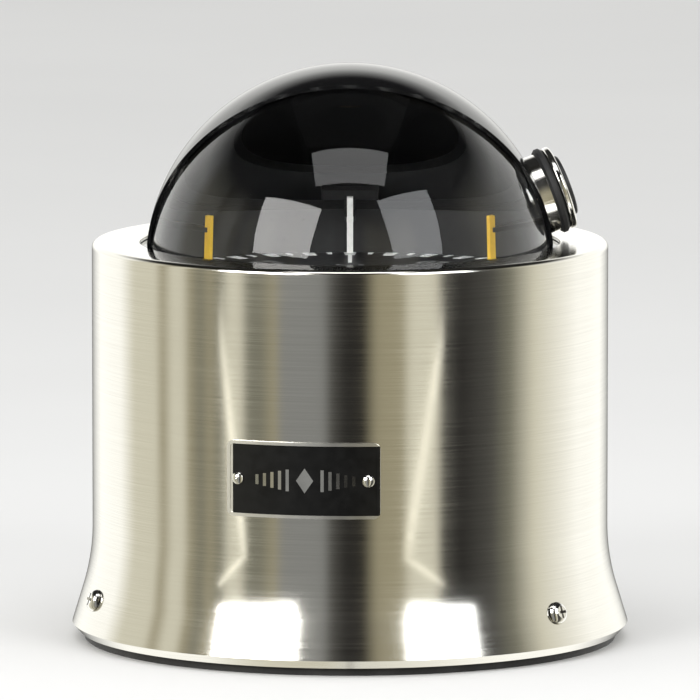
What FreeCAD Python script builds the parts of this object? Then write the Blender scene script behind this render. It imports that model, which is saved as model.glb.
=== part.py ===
import FreeCAD, Part
import math
import os
import re
import Sketcher

# Steering-pedestal compass: a fluid-filled globe compass inside a flared steel binnacle.
# Frame: +Z up, -Y towards the helmsman, +Y towards the bow, +X to starboard.
# Origin: centre of the base gasket's underside. Lengths in mm, angles in degrees.

Vector = FreeCAD.Vector
doc = FreeCAD.newDocument("pedestal_compass")
sheet = doc.addObject("Spreadsheet::Sheet", "Sizes")

SIZES = [
    # binnacle housing and its base
    ("housing_radius", 96.5), ("housing_height", 149), ("sheet_wall", 1.5), ("edge_radius", 2),
    ("opening_radius", 78.5), ("hem_radius", 0.7), ("flare_start", 43), ("flare_bend", 80),
    ("flare_angle", 17), ("lip_height", 6), ("lip_return", 2.6), ("gasket_radius", 99.5),
    ("gasket_height", 3), ("base_bore", 66), ("base_flange_top", 9), ("base_top", 24),
    ("base_wall_bore", 92), ("bolt_circle", 154), ("bolt_hole", 3.3), ("housing_turn", 10.5),
    ("skirt_screw_height", 18), ("plate_length", 58), ("plate_height", 28),
    ("plate_centre", 71.6), ("plate_thickness", 1), ("plate_border", 1.3), ("plate_corner", 2.5),
    # posts and deck that carry the compass unit
    ("post_circle", 84), ("post_radius", 5), ("post_bore", 10), ("deck_height", 112.5),
    ("deck_thickness", 5), ("deck_bore", 78), ("deck_radius", 90),
    # globe: bowl, dome, bezel ring and seals, about one sphere centre
    ("centre_height", 139), ("dome_radius", 74.5), ("dome_wall", 4), ("flange_radius", 88),
    ("flange_thickness", 5), ("seal_thickness", 1.5), ("bezel_bore", 75.3), ("bezel_top", 143.5),
    ("bezel_screw_circle", 81.5), ("glide_thickness", 1), ("boss_radius", 40), ("boss_bore", 28),
    ("boss_drop", 69), ("port_angle", 40), ("port_radius", 5), ("glide_bore", 78),
    ("glide_radius", 84), ("diaphragm_circle", 34), ("diaphragm_wall", 1.5), ("led_radius", 2.6),
    # sun shield and its clamp knob
    ("shield_radius", 76.5), ("shield_wall", 1.6), ("shield_tilt", 26), ("shield_set_back", 7),
    ("foot_radius", 83.5), ("foot_bottom", 144.6), ("foot_top", 147.2), ("knob_rise", 20),
    ("knob_turn_back", 8), ("knob_radius", 16), ("stud_radius", 2.5),
    # gimbals, card frame and card, measured from the sphere centre
    ("gimbal_outer", 64.5), ("gimbal_inner", 60), ("frame_outer", 58), ("frame_inner", 55),
    ("pin_radius", 1.5), ("bush_radius", 2.6), ("card_radius", 47), ("card_drop", 2.7),
    ("lubber_radius", 42.5), ("lubber_top", 9), ("lubber_width", 1.2), ("carrier_bore", 66.5),
    ("ring_half", 3.5), ("frame_half", 4), ("rib_width", 12), ("ballast_radius", 22),
    ("ballast_bottom", 50), ("ballast_top", 44), ("pivot_height", 6), ("hub_radius", 4),
    ("card_rim", 4), ("card_bar_offset", 9), ("card_bar_width", 4), ("card_bar_length", 30),
    # compensator under the globe
    ("block_size", 44), ("block_bottom", 12), ("block_top", 50), ("fore_aft_height", 21.5),
    ("athwart_height", 40.5), ("shaft_radius", 5), ("shaft_length", 54), ("bar_offset", 10),
    ("bar_radius", 1.6), ("bridge_length", 152), ("bridge_width", 26), ("bridge_circle", 71),
    ("block_circle", 17),
    # general
    ("fit", 0.05), ("gap", 0.1),
]
for row, (alias, number) in enumerate(SIZES, start=1):
    sheet.set("A%d" % row, alias)
    sheet.set("B%d" % row, str(number))
    sheet.setAlias("B%d" % row, alias)
doc.recompute()

ALIASES = re.compile(r"\b(" + "|".join(alias for alias, number in SIZES) + r")\b")
sub_parts = []


def bound(text):
    """The expression text with every alias pointed at the sheet."""
    return ALIASES.sub(r"Sizes.\1", str(text))


def value(text):
    """The number that an expression gives now."""
    result = sheet.evalExpression(bound(text))
    return float(getattr(result, "Value", result))


def bind(obj, path, text):
    obj.setExpression(path, bound(text))


def keep(obj, name):
    """Names an object as a finished sub-part."""
    obj.Label = name
    sub_parts.append(obj)
    return obj


# ---------------------------------------------------------------- sketches and turned bodies

def origin_plane(body, role):
    return next(item for item in body.Origin.OriginFeatures if item.Role == role)


def arc_between(start, end, radius, left):
    """Part arc from start to end, and whether its own direction runs the other way."""
    chord = end.sub(start)
    half = chord.Length / 2
    side = Vector(-chord.y, chord.x, 0).normalize()
    if not left:
        side = side.negative()
    centre = start.add(end).multiply(0.5).add(side.multiply(math.sqrt(radius ** 2 - half ** 2)))
    first, last = (start, end) if left else (end, start)
    from_angle = math.atan2(first.y - centre.y, first.x - centre.x)
    to_angle = math.atan2(last.y - centre.y, last.x - centre.x)
    if to_angle < from_angle:
        to_angle += 2 * math.pi
    circle = Part.Circle(centre, Vector(0, 0, 1), radius)
    return Part.ArcOfCircle(circle, from_angle, to_angle), not left


def outline_sketch(body, name, outline, role):
    """Closed outline of (x, y) or (x, y, "left"/"right", radius) corners, bound to the sheet.

    A corner with a radius starts an arc that turns that way to the next corner.
    """
    sketch = body.newObject("Sketcher::SketchObject", name)
    sketch.AttachmentSupport = [(origin_plane(body, role), "")]
    sketch.MapMode = "FlatFace"
    corners = [Vector(value(corner[0]), value(corner[1]), 0) for corner in outline]
    starts = []
    for index, corner in enumerate(outline):
        start = corners[index]
        end = corners[(index + 1) % len(outline)]
        if len(corner) == 2:
            edge = sketch.addGeometry(Part.LineSegment(start, end), False)
            starts.append((edge, 1, 2))
            continue
        arc, turned_round = arc_between(start, end, value(corner[3]), corner[2] == "left")
        edge = sketch.addGeometry(arc, False)
        starts.append((edge, 2, 1) if turned_round else (edge, 1, 2))
        radius = sketch.addConstraint(Sketcher.Constraint("Radius", edge, value(corner[3])))
        bind(sketch, "Constraints[%d]" % radius, corner[3])
    for index, (edge, start, end) in enumerate(starts):
        follower, follower_start = starts[(index + 1) % len(starts)][:2]
        sketch.addConstraint(Sketcher.Constraint("Coincident", edge, end, follower, follower_start))
        for kind, text, number, axis in (("DistanceX", outline[index][0], corners[index].x, -2),
                                         ("DistanceY", outline[index][1], corners[index].y, -1)):
            if abs(number) < 1e-9:
                sketch.addConstraint(Sketcher.Constraint("PointOnObject", edge, start, axis))
                continue
            place = sketch.addConstraint(Sketcher.Constraint(kind, -1, 1, edge, start, number))
            bind(sketch, "Constraints[%d]" % place, text)
    return sketch


def turned(name, outline):
    """Body turned about its own Z axis from an outline of (radius, height) corners."""
    body = doc.addObject("PartDesign::Body", name)
    sketch = outline_sketch(body, name + "_outline", outline, "XZ_Plane")
    turn = body.newObject("PartDesign::Revolution", name + "_turn")
    turn.Profile = sketch
    turn.ReferenceAxis = (sketch, ["V_Axis"])
    turn.Angle = 360
    return body


def padded(name, outline, role, length):
    """Body padded equally to both sides of one of its own origin planes."""
    body = doc.addObject("PartDesign::Body", name)
    pad = body.newObject("PartDesign::Pad", name + "_pad")
    pad.Profile = outline_sketch(body, name + "_outline", outline, role)
    pad.Midplane = True
    bind(pad, "Length", length)
    return body


def ring_outline(inner, outer, bottom, top):
    return [(inner, bottom), (outer, bottom), (outer, top), (inner, top)]


# ---------------------------------------------------------------- primitives, booleans, groups

def cylinder(name, radius, height, bottom="0"):
    """Cylinder along its own Z, with its foot at the given height."""
    tool = doc.addObject("Part::Cylinder", name)
    bind(tool, "Radius", radius)
    bind(tool, "Height", height)
    bind(tool, "Placement.Base.z", bottom)
    return tool


def sphere(name, radius):
    ball = doc.addObject("Part::Sphere", name)
    bind(ball, "Radius", radius)
    bind(ball, "Placement.Base.z", "centre_height")
    return ball


def box(name, length, width, low):
    """Box centred on X and Y, from low = (bottom, top)."""
    block = doc.addObject("Part::Box", name)
    bind(block, "Length", length)
    bind(block, "Width", width)
    bind(block, "Height", "(%s) - (%s)" % (low[1], low[0]))
    bind(block, "Placement.Base.x", "-(%s) / 2" % length)
    bind(block, "Placement.Base.y", "-(%s) / 2" % width)
    bind(block, "Placement.Base.z", low[0])
    return block


def copy_of(source, name, placement):
    """Linked copy of a finished shape, moved by a placement of its own."""
    link = doc.addObject("App::Link", name)
    link.LinkedObject = source
    link.LinkTransform = True
    link.Placement = placement
    return link


def group(name, members):
    compound = doc.addObject("Part::Compound", name)
    compound.Links = members
    return compound


def cut(name, base, tools):
    result = doc.addObject("Part::Cut", name)
    result.Base = base
    result.Tool = tools[0] if len(tools) == 1 else group(name + "_tools", tools)
    return result


def fuse(name, members):
    result = doc.addObject("Part::MultiFuse", name)
    result.Shapes = members
    return result


def about_z(angle, x=0, y=0, z=0):
    """Placement that moves out to (x, y, z), then turns about the object's axis."""
    turn = FreeCAD.Rotation(Vector(0, 0, 1), angle)
    return FreeCAD.Placement(turn.multVec(Vector(x, y, z)), turn)


def around(name, source, angles, radius=0, height=0):
    """Group of linked copies of one shape, at a radius and height, one at each angle."""
    copies = [copy_of(source, "%s_%d" % (name, index + 1), about_z(angle, radius, 0, height))
              for index, angle in enumerate(angles)]
    return group(name, copies)


def even(count, first=0.0):
    return [first + 360.0 * index / count for index in range(count)]


def pointing(azimuth, elevation, out=0.0, height="centre_height"):
    """Placement at the sphere centre whose own Z points out along a compass-like direction."""
    turn = FreeCAD.Rotation(azimuth, 90 - elevation, 0)
    base = Vector(0, 0, value(height)).add(turn.multVec(Vector(0, 0, out)))
    return FreeCAD.Placement(base, turn)


def lying(angle, height, out=0.0):
    """Placement whose own Z points level and outward at an angle from +X."""
    return pointing(angle, 0, out, height)


def screw(name, shank, length, head, style):
    """Cross-slotted screw, its seat at its own origin and its shank down its own -Z."""
    half = "(%s) * 0.55" % head
    if style == "flat":
        blank = turned(name + "_blank", [("0", 0), (head, 0), (shank, "(%s) - (%s)" % (shank, head)),
                                         (shank, "-(%s)" % length), (0, "-(%s)" % length)])
        top = "0"
    else:
        top = "(%s) * 0.6" % head
        blank = turned(name + "_blank", [(0, top), (half, top, "right", "(%s) * 0.62" % head),
                                         (head, "(%s) * 0.12" % head), (head, 0), (shank, 0),
                                         (shank, "-(%s)" % length), (0, "-(%s)" % length)])
    depth = "(%s) - (%s) * 0.35" % (top, head)
    rise = "(%s) + 1" % top
    slots = [box(name + "_slot_x", "(%s) * 1.1" % head, "(%s) * 0.24" % head, (depth, rise)),
             box(name + "_slot_y", "(%s) * 0.24" % head, "(%s) * 1.1" % head, (depth, rise))]
    return cut(name, blank, [fuse(name + "_recess", slots)])


def hole_for(name, shank, length, head=None):
    """Tool for a screw's clearance hole, with its countersink, in the screw's own frame."""
    shank_radius = "(%s) + gap" % shank
    if head is None:
        return turned(name, [(0, 1), (shank_radius, 1), (shank_radius, "-(%s)" % length),
                             (0, "-(%s)" % length)])
    return turned(name, [(0, 1), ("(%s) + gap" % head, 1), ("(%s) + gap" % head, 0),
                         (shank_radius, "(%s) - (%s)" % (shank, head)),
                         (shank_radius, "-(%s)" % length), (0, "-(%s)" % length)])


POST_ANGLES = even(3, 30)
BOLT_ANGLES = even(3, 90)
BEZEL_ANGLES = even(8, 22.5)
ENDS = (0, 180)
HOUSING_TURN = -90 - value("housing_turn")
SKIRT_ANGLES = even(3, HOUSING_TURN + 60)
FLARE_FOOT = "(flare_start - flare_bend * sin(flare_angle))"
TIP_RADIUS = ("(housing_radius + flare_bend * (1 - cos(flare_angle))"
              " + (%s - lip_height) * tan(flare_angle))" % FLARE_FOOT)
INNER_BEND = "(flare_bend + sheet_wall)"
INNER_FOOT_RADIUS = "(housing_radius - sheet_wall + %s * (1 - cos(flare_angle)))" % INNER_BEND
INNER_FOOT = "(flare_start - %s * sin(flare_angle))" % INNER_BEND


# ---------------------------------------------------------------- base: gasket, ring, posts, deck

def base_bolt_holes(name, low, high):
    bore = cylinder(name + "_bore", "bolt_hole", "(%s) - (%s)" % (high, low), low)
    return around(name, bore, BOLT_ANGLES, value("bolt_circle / 2"))


def skirt_screw_places(source, name):
    """Copies at the three skirt screws, square to the flared skirt."""
    radius = value("housing_radius + flare_bend * (1 - cos(flare_angle))"
                   " + (%s - skirt_screw_height) * tan(flare_angle) + gap" % FLARE_FOOT)
    tilt = value("flare_angle")
    copies = []
    for index, angle in enumerate(SKIRT_ANGLES):
        turn = FreeCAD.Rotation(angle, 90 - tilt, 0)
        out = FreeCAD.Rotation(Vector(0, 0, 1), angle).multVec(Vector(radius, 0, 0))
        place = FreeCAD.Placement(out.add(Vector(0, 0, value("skirt_screw_height"))), turn)
        copies.append(copy_of(source, "%s_%d" % (name, index + 1), place))
    return group(name, copies)


def base_gasket():
    blank = turned("gasket_blank", ring_outline("base_bore", "gasket_radius", 0, "gasket_height"))
    return keep(cut("base_gasket", blank, [base_bolt_holes("gasket_holes", "-1", "gasket_height + 1")]),
                "base_gasket")


def base_ring():
    skirt_gap = "3 * gap"
    inner_at_top = ("housing_radius - sheet_wall + %s - sqrt(%s ^ 2 - (flare_start - base_top) ^ 2)"
                    % (INNER_BEND, INNER_BEND))
    lip_radius = "(%s + (%s - lip_height - 1.2) * tan(flare_angle))" % (INNER_FOOT_RADIUS, INNER_FOOT)
    blank = turned("base_blank", [
        ("base_bore", "gasket_height"), ("gasket_radius", "gasket_height"),
        (lip_radius + " - 0.9", "lip_height + 1.2"),
        ("%s - %s" % (INNER_FOOT_RADIUS, skirt_gap), INNER_FOOT),
        ("%s - %s" % (inner_at_top, skirt_gap), "base_top"),
        ("base_wall_bore", "base_top"), ("base_wall_bore", "base_flange_top"),
        ("base_bore", "base_flange_top")])
    post_tool = copy_of(post_hole, "base_post_flip", FreeCAD.Placement(
        Vector(0, 0, 0), FreeCAD.Rotation(Vector(1, 0, 0), 180)))
    holes = [base_bolt_holes("base_holes", "gasket_height - 1", "base_flange_top + 1"),
             around("base_post_holes", post_tool, POST_ANGLES, value("post_circle"),
                    value("gasket_height + gap")),
             skirt_screw_places(skirt_hole, "base_skirt_holes"),
             around("base_bridge_holes", bridge_hole, ENDS, value("bridge_circle"),
                    value("block_bottom"))]
    return keep(cut("base_ring", blank, holes), "base_ring")


def support_posts():
    post = turned("post", [
        ("2 + gap", 0), ("post_radius", 0), ("post_radius", "deck_height - base_flange_top"),
        ("2 + gap", "deck_height - base_flange_top"),
        ("2 + gap", "deck_height - base_flange_top - post_bore"),
        (0, "deck_height - base_flange_top - post_bore"), (0, "post_bore"), ("2 + gap", "post_bore")])
    return keep(around("support_posts", post, POST_ANGLES, value("post_circle"),
                       value("base_flange_top")), "support_posts")


def post_screws():
    turned_over = copy_of(post_screw, "post_screw_flip", FreeCAD.Placement(
        Vector(0, 0, 0), FreeCAD.Rotation(Vector(1, 0, 0), 180)))
    radius = value("post_circle")
    lower = around("post_screws_lower", turned_over, POST_ANGLES, radius,
                   value("gasket_height + gap"))
    upper = around("post_screws_upper", post_screw, POST_ANGLES, radius,
                   value("deck_height + deck_thickness - gap"))
    return keep(group("post_screws", [lower, upper]), "post_screws")


def support_ring():
    top = "deck_height + deck_thickness"
    blank = turned("deck_blank", ring_outline("deck_bore", "deck_radius", "deck_height", top))
    holes = [around("deck_post_holes", post_hole, POST_ANGLES, value("post_circle"),
                    value(top + " - gap")),
             around("deck_screw_holes", bezel_bore_tool, BEZEL_ANGLES, value("bezel_screw_circle"),
                    value("deck_height - 1"))]
    return keep(cut("support_ring", blank, holes), "support_ring")


# ---------------------------------------------------------------- housing and its plate

def housing():
    shell = turned("housing_shell", [
        ("opening_radius", "housing_height - hem_radius", "right", "hem_radius"),
        ("opening_radius + hem_radius", "housing_height"),
        ("housing_radius - edge_radius", "housing_height", "right", "edge_radius"),
        ("housing_radius", "housing_height - edge_radius"),
        ("housing_radius", "flare_start", "left", "flare_bend"),
        ("housing_radius + flare_bend * (1 - cos(flare_angle))", FLARE_FOOT),
        (TIP_RADIUS, "lip_height"),
        (TIP_RADIUS + " - lip_return", "gasket_height"),
        (TIP_RADIUS + " - lip_return - 1.4", "gasket_height"),
        ("%s + (%s - lip_height - 0.8) * tan(flare_angle)" % (INNER_FOOT_RADIUS, INNER_FOOT),
         "lip_height + 0.8"),
        (INNER_FOOT_RADIUS, INNER_FOOT, "right", INNER_BEND),
        ("housing_radius - sheet_wall", "flare_start"),
        ("housing_radius - sheet_wall", "housing_height - sheet_wall"),
        ("opening_radius", "housing_height - sheet_wall")])
    pin_hole = copy_of(cylinder("plate_pin_bore", "1.2 + gap", 12), "plate_pin_hole",
                       FreeCAD.Placement(Vector(0, 0, value("housing_radius - 8")),
                                         FreeCAD.Rotation()))
    holes = [skirt_screw_places(skirt_hole, "housing_skirt_holes"),
             plate_pin_places(pin_hole, "housing_pin_holes")]
    return keep(cut("housing", shell, holes), "housing")


def rounded_rectangle(half_width, half_height, corner):
    """Rounded rectangle about the middle of the plate, as (across, height) corners."""
    low = "plate_centre - (%s)" % half_height
    high = "plate_centre + (%s)" % half_height
    left = "-(%s)" % half_width
    inset_left = "%s + %s" % (left, corner)
    inset_right = "%s - %s" % (half_width, corner)
    return [(inset_left, low), (inset_right, low, "left", corner),
            (half_width, "%s + %s" % (low, corner)),
            (half_width, "%s - %s" % (high, corner), "left", corner), (inset_right, high),
            (inset_left, high, "left", corner), (left, "%s - %s" % (high, corner)),
            (left, "%s + %s" % (low, corner), "left", corner)]


def plate_pin_places(source, name):
    across = value("plate_length / 2 - 4.6")
    spread = math.degrees(across / value("housing_radius"))
    copies = [copy_of(source, "%s_%d" % (name, index + 1),
                      lying(HOUSING_TURN + side * spread, "plate_centre"))
              for index, side in enumerate((-1, 1))]
    return group(name, copies)


def plate_slab(name, inset, inner, outer):
    """Curved slab over the housing wall with the plate's rounded outline, at +X then turned."""
    chord = "(housing_radius * sin((plate_length / 2 - %s) * 57.29578 / housing_radius))" % inset
    window = padded(name + "_window", rounded_rectangle(
        chord, "plate_height / 2 - %s" % inset, "(plate_corner - %s)" % inset), "YZ_Plane",
        "4 * housing_radius")
    wall = turned(name + "_wall", ring_outline(inner, outer, "plate_centre - plate_height",
                                               "plate_centre + plate_height"))
    side = box(name + "_side", "2 * housing_radius", "2 * housing_radius",
               ("0", "housing_height"))
    bind(side, "Placement.Base.x", "housing_radius / 2")
    slab = doc.addObject("Part::MultiCommon", name)
    slab.Shapes = [window, wall, side]
    return slab


def nameplate():
    outside = "housing_radius + fit + plate_thickness"
    slab = plate_slab("plate_slab", "0", "housing_radius + fit", outside)
    recess = plate_slab("plate_recess", "plate_border", outside + " - 0.3", outside + " + 2")
    blank = cut("plate_blank", slab, [recess])
    turned_plate = copy_of(blank, "plate_turned", about_z(HOUSING_TURN))
    pin_hole = copy_of(cylinder("plate_hole_bore", "1.2 + gap", 12), "plate_hole",
                       FreeCAD.Placement(Vector(0, 0, value("housing_radius - 2")),
                                         FreeCAD.Rotation()))
    return keep(cut("nameplate", turned_plate, [plate_pin_places(pin_hole, "plate_holes")]),
                "nameplate")


def nameplate_pins():
    seat = "housing_radius + 2 * fit + plate_thickness - 0.3"
    pin = turned("plate_pin", [
        (0, seat + " - 4"), ("1.2", seat + " - 4"), ("1.2", seat), ("2.2", seat),
        ("2.2", seat + " + 0.5", "left", "(2.2 ^ 2 + 0.9 ^ 2) / (2 * 0.9)"), (0, seat + " + 1.4")])
    return keep(plate_pin_places(pin, "nameplate_pins"), "nameplate_pins")


# ---------------------------------------------------------------- globe: bowl, dome, bezel, ports

BOWL_FLOOR = "(centre_height - boss_drop)"
DECK_TOP = "(deck_height + deck_thickness)"
BOWL_TOP = "(deck_height + deck_thickness + flange_thickness)"
GLASS_FOOT = "(deck_height + deck_thickness + flange_thickness + seal_thickness)"
INNER_RADIUS = "(dome_radius - dome_wall)"


def sphere_radius_at(radius, height):
    """Expression for a sphere's horizontal radius at a height."""
    return "sqrt((%s) ^ 2 - (centre_height - (%s)) ^ 2)" % (radius, height)


def sphere_floor_at(radius, across):
    """Expression for the height of a sphere's lower half at a horizontal radius."""
    return "(centre_height - sqrt((%s) ^ 2 - (%s) ^ 2))" % (radius, across)


def bowl():
    blank = turned("bowl_blank", [
        ("boss_bore", BOWL_FLOOR), ("boss_radius", BOWL_FLOOR),
        ("boss_radius", sphere_floor_at("dome_radius", "boss_radius"), "left", "dome_radius"),
        (sphere_radius_at("dome_radius", DECK_TOP), DECK_TOP),
        ("flange_radius", DECK_TOP), ("flange_radius", BOWL_TOP),
        (sphere_radius_at(INNER_RADIUS, BOWL_TOP), BOWL_TOP, "right", INNER_RADIUS),
        ("boss_bore", sphere_floor_at(INNER_RADIUS, "boss_bore"))])
    diaphragm_hole = cylinder("diaphragm_hole", "1.5 + gap", 8, BOWL_FLOOR + " - 1")
    holes = [around("bowl_screw_holes", bezel_bore_tool, BEZEL_ANGLES,
                    value("bezel_screw_circle"), value(DECK_TOP + " - 1")),
             port_places("bowl_ports", port_tool),
             around("bowl_diaphragm_holes", diaphragm_hole, even(6), value("diaphragm_circle"))]
    return keep(cut("bowl", blank, holes), "bowl")


def port_places(name, source):
    """The two ports low in the bowl: the lamp to port, the filler plug to starboard."""
    slope = -value("port_angle")
    return group(name, [copy_of(source, name + "_lamp", pointing(180, slope)),
                        copy_of(source, name + "_filler", pointing(0, slope))])


def dome_gasket():
    blank = turned("dome_gasket_blank", ring_outline("dome_radius + gap", "flange_radius - 1",
                                                     BOWL_TOP, GLASS_FOOT))
    holes = around("dome_gasket_holes", bezel_bore_tool, BEZEL_ANGLES,
                   value("bezel_screw_circle"), value(BOWL_TOP + " - 1"))
    return keep(cut("dome_gasket", blank, [holes]), "dome_gasket")


def dome():
    flange_top = GLASS_FOOT + " + flange_thickness"
    blank = turned("dome_blank", [
        (INNER_RADIUS, GLASS_FOOT), ("flange_radius - 1", GLASS_FOOT),
        ("flange_radius - 1", flange_top), ("dome_radius", flange_top),
        ("dome_radius", "centre_height", "left", "dome_radius"),
        (0, "centre_height + dome_radius"),
        (0, "centre_height + " + INNER_RADIUS, "right", INNER_RADIUS),
        (INNER_RADIUS, "centre_height")])
    holes = around("dome_holes", bezel_bore_tool, BEZEL_ANGLES, value("bezel_screw_circle"),
                   value(GLASS_FOOT + " - 1"))
    return keep(cut("dome", blank, [holes]), "dome")


def bezel_ring():
    bottom = GLASS_FOOT + " + flange_thickness"
    blank = turned("bezel_blank", ring_outline("bezel_bore", "flange_radius", bottom, "bezel_top"))
    holes = around("bezel_holes", bezel_hole, BEZEL_ANGLES, value("bezel_screw_circle"),
                   value("bezel_top - gap"))
    return keep(cut("bezel_ring", blank, [holes]), "bezel_ring")


def bezel_screws():
    return keep(around("bezel_screws", bezel_screw, BEZEL_ANGLES, value("bezel_screw_circle"),
                       value("bezel_top - gap")), "bezel_screws")


def glide_ring():
    return keep(turned("glide_ring", ring_outline("glide_bore", "glide_radius", "bezel_top",
                                                  "bezel_top + glide_thickness")), "glide_ring")


def diaphragm():
    low = BOWL_FLOOR + " - diaphragm_wall"
    blank = turned("diaphragm_blank", [
        (0, low + " + 3.5"), (16, low + " + 3.5"), (20, low + " + 2"), (24, low + " + 2"),
        (27, low), ("boss_radius", low), ("boss_radius", BOWL_FLOOR),
        ("boss_bore - 0.6", BOWL_FLOOR), (25, low + " + 3.5"), (19.4, low + " + 3.5"),
        (15.4, low + " + 5"), (0, low + " + 5")])
    hole = cylinder("diaphragm_rim_hole", "1.5 + gap", 5, low + " - 1")
    holes = around("diaphragm_rim_holes", hole, even(6), value("diaphragm_circle"))
    return keep(cut("diaphragm", blank, [holes]), "diaphragm")


def diaphragm_cover():
    top = BOWL_FLOOR + " - diaphragm_wall"
    blank = turned("cover_blank", [
        (3, top + " - 8"), (27, top + " - 8"), (29, top + " - 2"), ("boss_radius", top + " - 2"),
        ("boss_radius", top), (27.5, top), (25.5, top + " - 6"), (3, top + " - 6")])
    hole = cylinder("cover_rim_hole", "1.5 + gap", 5, top + " - 3")
    holes = around("cover_rim_holes", hole, even(6), value("diaphragm_circle"))
    return keep(cut("diaphragm_cover", blank, [holes]), "diaphragm_cover")


def diaphragm_screws():
    turned_over = copy_of(small_screw, "diaphragm_screw_flip", FreeCAD.Placement(
        Vector(0, 0, 0), FreeCAD.Rotation(Vector(1, 0, 0), 180)))
    return keep(around("diaphragm_screws", turned_over, even(6), value("diaphragm_circle"),
                       value(BOWL_FLOOR + " - 3.5 - fit")), "diaphragm_screws")


PORT_SEAT = "(dome_radius - 0.5)"


def port_piece(name, outline, azimuth):
    """Turned piece in the frame of one port, its own Z running out through the bowl."""
    piece = turned(name, outline)
    piece.Placement = pointing(azimuth, -value("port_angle"))
    return keep(piece, name)


def ports():
    seal_top = PORT_SEAT + " + 1.2"
    for name, azimuth in (("lamp_seal", 180), ("filler_seal", 0)):
        port_piece(name, ring_outline("port_radius + gap", "port_radius + 2.5",
                                      PORT_SEAT + " + fit", seal_top), azimuth)
    port_piece("filler_plug", [
        (0, INNER_RADIUS), ("port_radius", INNER_RADIUS), ("port_radius", seal_top + " + fit"),
        ("port_radius + 3", seal_top + " + fit"), ("port_radius + 3", seal_top + " + 3"),
        (3.2, seal_top + " + 3"), (3.2, seal_top + " + 0.5"), (0, seal_top + " + 0.5")], 0)
    port_piece("lamp_holder", [
        ("led_radius + fit", INNER_RADIUS), ("port_radius", INNER_RADIUS),
        ("port_radius", seal_top + " + fit"), ("port_radius + 3", seal_top + " + fit"),
        ("port_radius + 3", seal_top + " + 2"), ("port_radius + 0.8", seal_top + " + 2"),
        ("port_radius + 0.8", seal_top + " + 12"), (1.2, seal_top + " + 12"),
        (1.2, seal_top + " + 8"), ("led_radius + fit", seal_top + " + 8")], 180)
    led_top = INNER_RADIUS + " - 4"
    port_piece("lamp_led", [
        (0, led_top), ("led_radius", led_top + " + led_radius"),
        ("led_radius", seal_top + " + 7.9"),
        (0, seal_top + " + 7.9")], 180)


# ---------------------------------------------------------------- sun shield and clamp knob

def knob_place():
    return pointing(value("knob_turn_back"), value("knob_rise"))


def sun_shield():
    inner = "(shield_radius - shield_wall)"
    foot_inner = sphere_radius_at(inner, "foot_top - 1.2")
    body = turned("shield_body", [
        (inner, "foot_bottom"), ("foot_radius", "foot_bottom"), ("foot_radius", "foot_top"),
        (sphere_radius_at("shield_radius", "foot_top"), "foot_top", "left", "shield_radius"),
        (0, "centre_height + shield_radius"),
        (0, "centre_height + " + inner, "right", inner), (foot_inner, "foot_top - 1.2")])
    tilt_at = "shield_set_back - ((%s) - centre_height) * tan(shield_tilt)"
    far = "3 * shield_radius"
    pocket = body.newObject("PartDesign::Pocket", "shield_mouth")
    pocket.Profile = outline_sketch(body, "shield_mouth_outline", [
        (tilt_at % "foot_top", "foot_top"), (tilt_at % far, far), ("-(%s)" % far, far),
        ("-(%s)" % far, "foot_top")], "YZ_Plane")
    pocket.Type = 1
    pocket.Midplane = True
    stud_way = copy_of(cylinder("shield_stud_bore", "stud_radius + gap", 12), "shield_stud_way",
                       knob_place().multiply(FreeCAD.Placement(
                           Vector(0, 0, value("shield_radius - 6")), FreeCAD.Rotation())))
    return keep(cut("sun_shield", body, [stud_way]), "sun_shield")


def knob_stack():
    """Boss and pad on the shield, then the knob, its cap and its stud, out along one axis."""
    bore = "(stud_radius + gap)"
    seat = "(shield_radius + 2.7)"
    pad_top = "(%s + 3.2)" % seat
    knob_foot = "(%s + 0.2)" % pad_top
    knob_top = "(%s + 2.8)" % knob_foot
    boss = turned("knob_base_blank", ring_outline(bore, "knob_radius - 1", "shield_radius - 4", seat))
    boss.Placement = knob_place()
    keep(cut("knob_base", boss, [sphere("knob_base_seat", "shield_radius + fit")]), "knob_base")
    pieces = {
        "knob_pad": [(bore, seat), ("knob_radius - 0.4", seat),
                     ("knob_radius + 0.5", seat + " + 0.9"),
                     ("knob_radius + 0.5", pad_top + " - 0.9"),
                     ("knob_radius - 0.4", pad_top), (bore, pad_top)],
        "clamp_knob": [("stud_radius + fit", knob_foot), ("knob_radius - 1", knob_foot, "left", "1"),
                       ("knob_radius", knob_foot + " + 1"),
                       ("knob_radius", knob_top + " - 1", "left", "1"), ("knob_radius - 1", knob_top),
                       (0, knob_top), (0, knob_top + " - 0.8"),
                       ("stud_radius + fit", knob_top + " - 0.8")],
        "knob_cap": [(0, knob_top), ("knob_radius - 4.5", knob_top),
                     ("knob_radius - 4.5", knob_top + " + 1.2", "left", "0.8"),
                     ("knob_radius - 5.3", knob_top + " + 2"), (0, knob_top + " + 2")],
        "clamp_stud": [(0, "shield_radius - shield_wall + gap"),
                       ("stud_radius - 0.6", "shield_radius - shield_wall + gap"),
                       ("stud_radius", "shield_radius - shield_wall + gap + 0.6"),
                       ("stud_radius", knob_top + " - 0.8 - fit"), (0, knob_top + " - 0.8 - fit")]}
    for name, outline in pieces.items():
        piece = turned(name, outline)
        piece.Placement = knob_place()
        keep(piece, name)


# ---------------------------------------------------------------- gimbals and card frame

def pin_pair(name, inner, outer, angles, radius="pin_radius"):
    pin = turned(name + "_pin", [
        (0, inner), ("(%s) - 0.3" % radius, inner), (radius, "(%s) + 0.3" % inner),
        (radius, outer), (0, outer)])
    return keep(level_pair(name, pin, angles), name)


def level_pair(name, source, angles):
    return group(name, [copy_of(source, "%s_%d" % (name, index + 1), lying(angle, "centre_height"))
                        for index, angle in enumerate(angles)])


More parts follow.
